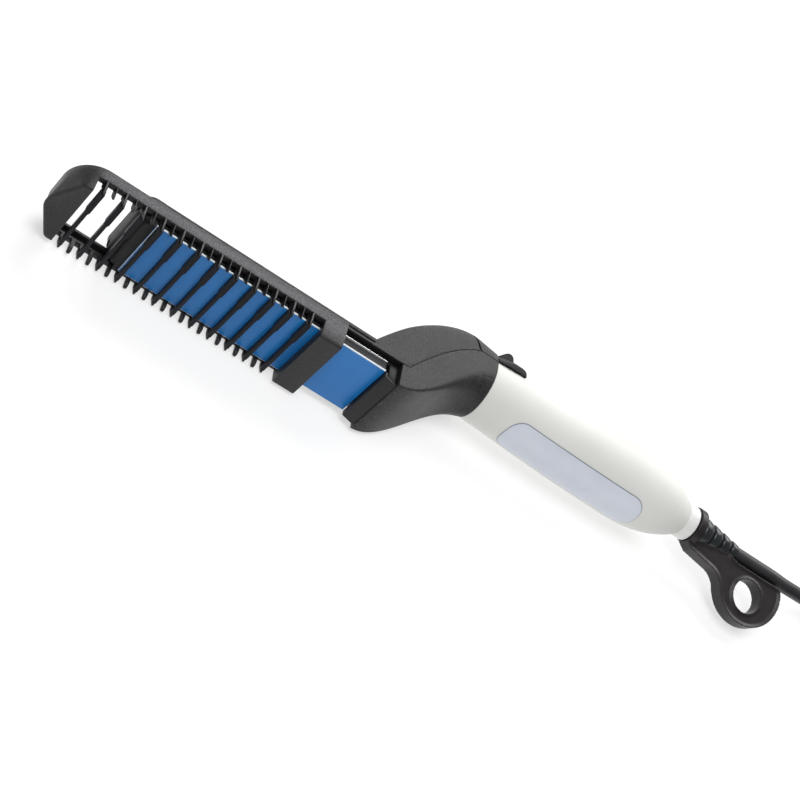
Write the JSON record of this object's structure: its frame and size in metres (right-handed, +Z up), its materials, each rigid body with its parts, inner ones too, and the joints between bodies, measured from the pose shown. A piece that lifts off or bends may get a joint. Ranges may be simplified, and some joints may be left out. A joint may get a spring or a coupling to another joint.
{
  "type": "electric hot comb",
  "caption": "Electric hot comb with a toothed comb attachment over a flat heating plate, cranked neck, round handle with thumb switch, hanging loop and swivel cord.",
  "frame": {"origin": "middle of the underside of the box round the tool without its cord, coil and plug", "axes": "+X from the comb tip to the butt of the handle; +Y from the teeth to the back of the handle; +Z up from the surface the tool lies on"},
  "size_m": [0.4825, 0.1016, 0.0348],
  "materials": {
    "comb_plastic": "Black glass-filled nylon, fine grain, low sheen",
    "plate_enamel": "Blue ceramic enamel on aluminium, satin",
    "bare_aluminium": "Machined aluminium, satin",
    "heater_ceramic": "Plain ceramic heater block",
    "insulation_film": "Amber insulating film",
    "fuse_steel": "Tinned fuse can",
    "screw_steel": "Blackened steel screws",
    "bezel_plastic": "Black moulded frame",
    "insulator_white": "White heat-resistant moulding",
    "neck_plastic": "Black plastic with a fine spark texture",
    "lead_sleeve": "Silicone-sleeved leads",
    "handle_white": "White glossy handle",
    "label_film": "Pale blue-grey sticker, bare",
    "collar_white": "White end collar",
    "tray_plastic": "Grey inner tray",
    "board_green": "Circuit board",
    "component_dark": "Components on the board",
    "switch_plastic": "Black switch saddle and knob",
    "slider_ivory": "Ivory contact slider",
    "contact_brass": "Brass slip rings and contacts",
    "boot_rubber": "Slate-black soft strain relief",
    "loop_plastic": "Warm black hanging loop",
    "cord_rubber": "Black cord jacket",
    "tie_fabric": "Black hook-and-loop strap",
    "plug_rubber": "Black moulded plug",
    "pin_nickel": "Nickel-plated pins"
  },
  "bodies": {
    "root": {"heating_plate": "plate_enamel", "plate_carrier": "bare_aluminium", "ptc_heater": "heater_ceramic", "heater_insulation": "insulation_film", "thermal_fuse": "fuse_steel", "nose_cap": "neck_plastic", "arm_screws": "screw_steel", "plate_bezel": "bezel_plastic", "root_insulator": "insulator_white", "neck_back": "neck_plastic", "neck_front": "neck_plastic", "neck_tab": "neck_plastic", "heater_leads": "lead_sleeve", "handle_sleeve": "handle_white", "handle_label": "label_film", "butt_collar": "collar_white", "board_tray": "tray_plastic", "circuit_board": "board_green", "board_parts": "component_dark", "switch_saddle": "switch_plastic", "ring_contacts": "contact_brass", "power_cord": "cord_rubber", "cord_coil": "cord_rubber", "cord_tie": "tie_fabric", "plug_body": "plug_rubber", "plug_pins": "pin_nickel"},
    "comb": {"comb_frame": "comb_plastic", "comb_ribs": "comb_plastic", "comb_teeth": "comb_plastic"},
    "switch": {"switch_knob": "switch_plastic", "switch_slider": "slider_ivory"},
    "swivel": {"swivel_hub": "component_dark", "slip_rings": "contact_brass", "strain_relief": "boot_rubber", "hanging_loop": "loop_plastic"}
  },
  "joints": [
    {"name": "comb_slide", "type": "slide", "parent": "root", "child": "comb", "axis": [1, 0, 0], "range_m": [-0.085, 0.0175]},
    {"name": "switch_slide", "type": "slide", "parent": "root", "child": "switch", "axis": [1, 0, 0], "range_m": [0, 0.003]},
    {"name": "cord_swivel", "type": "hinge", "parent": "root", "child": "swivel", "pos_m": [0.1202, 0.01125, 0.0174], "axis": [1, 0, 0], "continuous": true}
  ]
}
